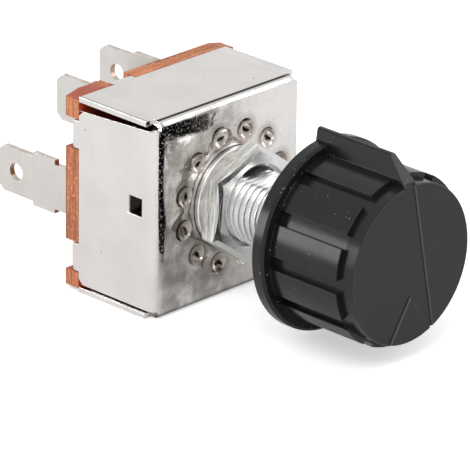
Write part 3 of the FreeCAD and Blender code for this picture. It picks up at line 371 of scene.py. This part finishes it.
# Punched fibre laminate: orange cut edges with torn fibres and dark rims, a red
# brown skin in front, brightened as a painted glow, and a redder top near its left corner.
def phenolicBoard():
    look = {
        "body": (0.62, 0.215, 0.085), "deep": (0.33, 0.085, 0.030), "bodyLevels": (0.38, 0.62),
        "pale": (0.80, 0.44, 0.22), "paleLevels": (0.52, 0.72), "paleShare": 0.75,
        "torn": (0.10, 0.025, 0.012), "tornLevels": (0.60, 0.72), "tornShare": 0.75,
        "red": (0.36, 0.060, 0.040), "redFaces": (0.1, 0.5), "redEnd": (3.0, 6.0), "redShare": 0.8,
        "skin": (0.50, 0.045, 0.010), "skinFaces": (0.5, 0.8),
        "rimWidth": (0.02, 0.24), "rimLevels": (0.36, 0.60), "rimFaces": (0.3, 0.6), "rimShare": 0.8,
        "cloudNoise": (220, 3.0, 0.6), "fleckNoise": (1900, 3.0, 0.7),
        "layerNoise": ((160, 2600, 160), 3.0, 0.6), "tearNoise": ((2600, 1500, 900), 3.0, 0.7),
        "layerTone": 0.6, "cloudTone": 0.4, "layerHeight": 0.5, "tearHeight": 0.6,
        "rough": 0.55, "edge": 0.12 * mm, "skinDepth": 0.06 * mm, "skinShare": 0.55,
    }
    f = Finish("fibreLaminate")
    low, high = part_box("terminal_board")
    low, high = low / mm, high / mm
    x, y, _ = f.spot()
    _, faceY, faceZ = f.facing()
    layers = f.noise(*look["layerNoise"])
    fleck = f.noise(*look["fleckNoise"])
    tear = f.noise(*look["tearNoise"])
    cloud = f.noise(*look["cloudNoise"])
    rim = f.fade((y - low.y).minimum(high.y - y), *look["rimWidth"]) * f.ramp(fleck, *look["rimLevels"])
    rim = rim * f.ramp(1 - faceY.absolute(), *look["rimFaces"])
    corner = f.ramp(faceZ, *look["redFaces"]) * f.fade(x - low.x, *look["redEnd"])
    mottle = layers * look["layerTone"] + cloud * look["cloudTone"]
    tone = f.blend(f.ramp(mottle, *look["bodyLevels"]), look["deep"], look["body"])
    tone = f.blend(f.ramp(fleck, *look["paleLevels"]) * look["paleShare"], tone, look["pale"])
    tone = f.blend(f.ramp(tear, *look["tornLevels"]) * look["tornShare"], tone, look["torn"])
    tone = f.blend(rim * look["rimShare"], tone, look["torn"])
    tone = f.blend(corner * look["redShare"], tone, look["red"])
    # The red brown skin in front, made a brighter red as a painted glow of light through the board.
    tone = f.blend(f.ramp(0 - faceY, *look["skinFaces"]), tone, look["skin"])
    fine = layers * look["layerHeight"] + fleck + tear * look["tearHeight"]
    skin = f.bump(fine, look["skinShare"], look["skinDepth"], f.softEdge(look["edge"]))
    return f.done(Base_Color=tone, Roughness=look["rough"], Normal=skin)


# Tin-plated blades; the punched edges show the brass under the plating.
def tinnedBrass():
    look = {
        "tin": (0.71, 0.68, 0.65), "dull": (0.61, 0.58, 0.55), "cut": (0.42, 0.27, 0.17),
        "cloudNoise": (300, 3.0, 0.6), "cloudLevels": (0.35, 0.7), "cutFaces": (0.5, 0.8),
        "wornNoise": (700, 2.0, 0.6), "wornLevels": (0.4, 0.62), "wornShare": 0.4, "shoulderShare": 0.8,
        "drawnNoise": ((300, 120, 2600), 2.0, 0.5), "dullCloud": 0.5, "dullDrawn": 0.2,
        "rough": 0.25, "roughCloud": 0.1, "edge": 0.08 * mm, "skinDepth": 0.02 * mm, "skinShare": 0.15,
    }
    f = Finish("tinnedBrass")
    faceX, faceY, _ = f.facing()
    cutEdge = f.ramp(1 - faceX.absolute(), *look["cutFaces"])
    shoulder = cutEdge * f.ramp(faceY.absolute(), *look["cutFaces"]) * look["shoulderShare"]
    drawn = f.noise(*look["drawnNoise"])
    cloud = f.patches(look["cloudNoise"], look["cloudLevels"])
    worn = cutEdge * f.patches(look["wornNoise"], look["wornLevels"]) * look["wornShare"]
    tone = f.blend(cloud * look["dullCloud"] + drawn * look["dullDrawn"], look["tin"], look["dull"])
    tone = f.blend(worn.maximum(shoulder), tone, look["cut"])
    rough = cloud * look["roughCloud"] + look["rough"]
    skin = f.bump(drawn, look["skinShare"], look["skinDepth"], f.softEdge(look["edge"]))
    return f.done(Base_Color=tone, Metallic=1.0, Roughness=rough, Normal=skin)


# Black moulded plastic with a soft gloss: rounder edges on the grip pads, a
# painted highlight on the walls of the arrow's recess and a little dust in the
# corner before the skirt.
def blackPlastic():
    look = {
        "black": (0.007, 0.007, 0.0075), "lift": (0.012, 0.012, 0.0125),
        "paintedWallHighlight": (0.075, 0.075, 0.078), "paintedWallHighlightFaces": (0.2, 0.3),
        "dust": (0.42, 0.42, 0.41), "dustNoise": (3000, 1.0, 0.5), "dustLevels": (0.775, 0.80),
        "dustShare": 0.5, "dustReach": (0.2, 1.5), "dustCorner": 0.05, "skirtFront": -17.9, "sides": 10.75,
        "cloudNoise": (240, 4.0, 0.6), "grainNoise": (2600, 2.0, 0.5),
        "flowNoise": ((700, 60, 700), 2.0, 0.5), "cloudHeight": 0.5, "flowHeight": 0.8,
        "rough": 0.16, "roughCloud": 0.10, "gloss": 0.31,
        "edge": 0.20 * mm, "skinDepth": 0.03 * mm, "skinShare": 0.10,
        "padFoot": (10.95, 11.10), "padTop": (11.6, 11.7), "recess": (-31.385, -31.22), "recessRadius": 10.6,
    }
    f = Finish("blackMoulding")
    x, y, z = f.spot()
    radius = (x * x + z * z).root()
    onPad = f.ramp(radius, *look["padFoot"]) * f.fade(radius, *look["padTop"])
    sharp = f.node("ShaderNodeNewGeometry", output="Normal")
    edges = f.node("ShaderNodeMix", {"data_type": "VECTOR"}, {
        0: onPad, 4: sharp, 5: f.softEdge(look["edge"]),
    }, output=1)
    recess = (y > look["recess"][0]) * (y < look["recess"][1]) * (radius < look["recessRadius"])
    wall = f.ramp(1 - f.facing()[1].absolute(), *look["paintedWallHighlightFaces"]) * recess
    corner = f.fade((y - look["skirtFront"]).absolute(), *look["dustReach"]) * look["dustCorner"]
    dust = f.ramp(f.noise(*look["dustNoise"]) + corner, *look["dustLevels"]) * (radius > look["sides"])
    cloud = f.noise(*look["cloudNoise"])
    grain = f.noise(*look["grainNoise"])
    flow = f.noise(*look["flowNoise"])
    # Painted highlight: lighter walls in the arrow's recess.
    tone = f.blend(wall, f.blend(cloud, look["black"], look["lift"]), look["paintedWallHighlight"])
    tone = f.blend(dust * look["dustShare"], tone, look["dust"])
    rough = cloud * look["roughCloud"] + look["rough"]
    fine = grain + cloud * look["cloudHeight"] + flow * look["flowHeight"]
    skin = f.bump(fine, look["skinShare"], look["skinDepth"], edges)
    return f.done(Base_Color=tone, Roughness=rough, Specular_IOR_Level=look["gloss"], Normal=skin)


def plainMetal(name, bright, dull, rough):
    look = {
        "cloudNoise": (500, 3.0, 0.6), "cloudLevels": (0.3, 0.7), "roughCloud": 0.1,
        "grainNoise": (3600, 2.0, 0.5), "skinDepth": 0.015 * mm, "skinShare": 0.12,
    }
    f = Finish(name)
    cloud = f.patches(look["cloudNoise"], look["cloudLevels"])
    tone = f.blend(cloud, bright, dull)
    rough = cloud * look["roughCloud"] + rough
    skin = f.bump(f.noise(*look["grainNoise"]), look["skinShare"], look["skinDepth"])
    return f.done(Base_Color=tone, Metallic=1.0, Roughness=rough, Normal=skin)


def nylon():
    look = {
        "cream": (0.78, 0.75, 0.67), "pale": (0.86, 0.84, 0.77), "cloudNoise": (300, 3.0, 0.6), "rough": 0.42,
        "grainNoise": (2400, 2.0, 0.5), "skinDepth": 0.03 * mm, "skinShare": 0.12,
    }
    f = Finish("nylonMoulding")
    tone = f.blend(f.noise(*look["cloudNoise"]), look["cream"], look["pale"])
    skin = f.bump(f.noise(*look["grainNoise"]), look["skinShare"], look["skinDepth"])
    return f.done(Base_Color=tone, Roughness=look["rough"], Normal=skin)


finishes = {
    "tinned_sheet": tinnedSheet(),
    "plated_metal": platedMetal(),
    "phenolic_board": phenolicBoard(),
    "tinned_brass": tinnedBrass(),
    "black_plastic": blackPlastic(),
    "silver_alloy": plainMetal("silverAlloy", (0.88, 0.87, 0.84), (0.70, 0.69, 0.66), rough=0.24),
    "spring_steel": plainMetal("springSteel", (0.55, 0.55, 0.56), (0.38, 0.38, 0.39), rough=0.25),
    "ball_steel": plainMetal("ballSteel", (0.82, 0.82, 0.83), (0.72, 0.72, 0.73), rough=0.08),
    "contact_copper": plainMetal("contactCopper", (0.80, 0.45, 0.28), (0.62, 0.33, 0.20), rough=0.28),
    "natural_nylon": nylon(),
}
nutFinish = nutPlate()
slotOf = {row["node"]: row["material_slot"] for row in frame["record"]["subparts"]}
for nodeName, body in frame["nodes"].items():
    body.data.materials.clear()
    body.data.materials.append(nutFinish if nodeName == "hex_nut" else finishes[slotOf[nodeName]])
print("finishes on", len(slotOf), "nodes")


def meshPiece(name, points, faces, finish, smooth=True):
    mesh = bpy.data.meshes.new(name)
    mesh.from_pydata(points, [], faces)
    mesh.validate()
    mesh.materials.append(finish)
    for face in mesh.polygons:
        face.use_smooth = smooth
    made = bpy.data.objects.new(name, mesh)
    bpy.context.scene.collection.objects.link(made)
    return made


# Four-sided faces between rows of points that each go once round.
def bandFaces(rowCount, around):
    faces = []
    for row in range(rowCount - 1):
        for k in range(around):
            a, b = row * around + k, row * around + (k + 1) % around
            faces.append((a, b, b + around, a + around))
    return faces


# The bushing with its turned thread, its keying flat and its flange inside the case.
def threadedBushing():
    size = {
        "crest": 5.0, "root": 4.38, "pitch": 1.0, "front": -12.0, "threadEnd": 0.0, "plainFrom": -0.3,
        "rootShare": 0.12, "flankShare": 0.74, "chamfer": 0.5, "flat": 4.25, "bore": 3.05,
        "flange": 6.2, "flangeFront": 0.7, "flangeRear": 1.7, "around": 96, "perTurn": 10,
    }
    around = size["around"]
    length = size["threadEnd"] - size["front"]
    steps = int(length / size["pitch"] * size["perTurn"])

    def threadRadius(y, turn):
        phase = (y / size["pitch"] + turn) % 1.0
        height = min(1.0, max(0.0, (abs(phase - 0.5) * 2 - size["rootShare"]) / size["flankShare"]))
        radius = size["root"] + (size["crest"] - size["root"]) * height
        if y > size["plainFrom"]:
            radius = size["crest"]
        return min(radius, size["crest"] - size["chamfer"] + (y - size["front"]))

    rings = [(size["front"], [size["bore"]] * around)]  # a place on the axis, and a radius for each angle
    for i in range(steps + 1):
        y = size["front"] + length * i / steps
        rings.append((y, [threadRadius(y, k / around) for k in range(around)]))
    for y, radius in (
        (size["flangeFront"], size["crest"]), (size["flangeFront"], size["flange"]),
        (size["flangeRear"], size["flange"]), (size["flangeRear"], size["bore"]),
        (size["front"], size["bore"]),
    ):
        rings.append((y, [radius] * around))
    points = []
    for y, radii in rings:
        for k, radius in enumerate(radii):
            angle = 2 * math.pi * k / around
            x, z = radius * math.sin(angle), radius * math.cos(angle)
            if y <= size["threadEnd"] and radius > size["bore"]:
                z = min(z, size["flat"])
            points.append((x * mm, y * mm, z * mm))
    return meshPiece("threadedBushing", points, bandFaces(len(rings), around), finishes["plated_metal"])


bushing = threadedBushing()
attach(bushing, "base")
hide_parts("bushing")
print("bushing threaded")


# A coil spring of round wire with closed ends, in place of a plain tube.
def coil(name, nodeName, turns, wire, axisX):
    size = {"closed": 0.8, "around": 10, "perTurn": 40}
    low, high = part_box(nodeName)
    radius = (high.z - low.z) / 2 - wire / 2
    around = size["around"]
    count = int(turns * size["perTurn"])
    points = []
    for i in range(count + 1):
        turn = turns * i / count
        rise = min(1.0, max(0.0, (turn - size["closed"]) / (turns - 2 * size["closed"])))
        y = low.y + wire / 2 + (high.y - low.y - wire) * rise
        outward = Vector((math.cos(2 * math.pi * turn), 0, math.sin(2 * math.pi * turn)))
        centre = Vector((axisX, y, 0)) + outward * radius
        for k in range(around):
            bend = 2 * math.pi * k / around
            along = Vector((0, wire / 2 * math.sin(bend), 0))
            points.append(tuple(centre + outward * (wire / 2 * math.cos(bend)) + along))
    faces = bandFaces(count + 1, around)
    faces.append(tuple(range(around)))
    faces.append(tuple(range(count * around, (count + 1) * around))[::-1])
    made = meshPiece(name, points, faces, finishes["spring_steel"])
    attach(made, "dial")
    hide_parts(nodeName)


coil("detentCoilLeft", "detent_spring_left", turns=4.5, wire=0.40 * mm, axisX=-9.0 * mm)
coil("detentCoilRight", "detent_spring_right", turns=4.5, wire=0.40 * mm, axisX=9.0 * mm)
coil("contactCoil", "contact_spring", turns=3.5, wire=0.55 * mm, axisX=0.0)
print("springs coiled")


# 1 for rays of these kinds, 0 for all others.
def rays(f, *names):
    path = f.node("ShaderNodeLightPath").socket.node.outputs
    kinds = [Value(f, path[name]) for name in names]
    found = kinds[0]
    for kind in kinds[1:]:
        found = found.maximum(kind)
    return found


# A floor that shows white around the object and keeps its shadow.
def room():
    look = {"half": 4.0, "drop": 0.02 * mm, "matte": 0.86, "seenGlow": 0.46, "mirrorGlow": 0.04}
    f = Finish("paleFloor")
    glow = rays(f, "Is Camera Ray") * look["seenGlow"]
    glow = glow + rays(f, "Is Glossy Ray", "Is Transmission Ray") * look["mirrorGlow"]
    matte = f.node("ShaderNodeBsdfDiffuse", {}, {"Color": (look["matte"],) * 3})
    light = f.node("ShaderNodeEmission", {}, {"Color": (1.0, 1.0, 1.0), "Strength": glow})
    both = f.node("ShaderNodeAddShader", {}, {0: matte, 1: light})
    f.node("ShaderNodeOutputMaterial", {}, {"Surface": both})
    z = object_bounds()[0][2] - look["drop"]
    half = look["half"]
    corners = [(-half, -half, z), (half, -half, z), (half, half, z), (-half, half, z)]
    made = meshPiece("floor", corners, [(0, 1, 2, 3)], f.material, smooth=False)


# A white room that metal can mirror, with a plainer light on everything else.
def world():
    level = {"seen": 1.0, "mirror": 0.88, "side": 0.62, "above": 0.15, "rise": (-0.1, 0.9)}
    made = bpy.data.worlds.new("whiteRoom")
    made.use_nodes = True
    bpy.context.scene.world = made
    f = Finish("whiteRoom", made.node_tree)
    seen = rays(f, "Is Camera Ray")
    mirror = rays(f, "Is Glossy Ray", "Is Transmission Ray")
    upward = f.parts(f.place("Generated"))[2]
    plain = f.ramp(upward, *level["rise"]) * level["above"] + level["side"]
    strength = seen * level["seen"] + (1 - seen) * (mirror * level["mirror"] + (1 - mirror) * plain)
    light = f.node("ShaderNodeBackground", {}, {"Color": (1.0, 1.0, 1.0), "Strength": strength})
    f.node("ShaderNodeOutputWorld", {}, {"Surface": light})


def lamp(name, place, target, size, power):
    data = bpy.data.lights.new(name, "AREA")
    data.shape = "RECTANGLE"
    data.size, data.size_y = size
    data.energy = power
    made = bpy.data.objects.new(name, data)
    made.location = place
    made.rotation_euler = (Vector(target) - Vector(place)).to_track_quat("-Z", "Y").to_euler()
    bpy.context.scene.collection.objects.link(made)


def camera():
    view = {
        "azimuth": -45.98, "elevation": 22.70, "roll": 0.85, "distance": 0.659,
        "shift": (-0.443 * mm, 5.044 * mm), "lens": 391.4, "sensor": 36, "near": 0.01,
    }
    azimuth, elevation, roll = (math.radians(view[name]) for name in ("azimuth", "elevation", "roll"))
    flat = math.cos(elevation)
    back = Vector((math.sin(azimuth) * flat, -math.cos(azimuth) * flat, math.sin(elevation)))
    right = Vector((math.cos(azimuth), math.sin(azimuth), 0))
    up = back.cross(right)
    across = right * math.cos(roll) + up * math.sin(roll)
    upward = up * math.cos(roll) - right * math.sin(roll)
    place = back * view["distance"] - across * view["shift"][0] - upward * view["shift"][1]
    data = bpy.data.cameras.new("photoView")
    data.lens = view["lens"]
    data.sensor_width = view["sensor"]
    data.clip_start = view["near"]
    made = bpy.data.objects.new("photoView", data)
    turn = Matrix((across, upward, back)).transposed().to_4x4()
    made.matrix_world = Matrix.Translation(place) @ turn
    bpy.context.scene.collection.objects.link(made)
    bpy.context.scene.camera = made


room()
world()
lamp("keyLamp", place=(-0.35, -0.25, 0.55), target=(0, 0, 0), size=(0.45, 0.35), power=1.9)
lamp("sideLamp", place=(0.45, -0.35, 0.30), target=(0, -0.01, 0), size=(0.30, 0.40), power=0.7)
lamp("backLamp", place=(-0.42, 0.34, 0.09), target=(0, -0.02, 0), size=(0.10, 0.22), power=0.45)
camera()
bpy.context.scene.view_settings.view_transform = "Standard"
print("room, lamps and camera set")
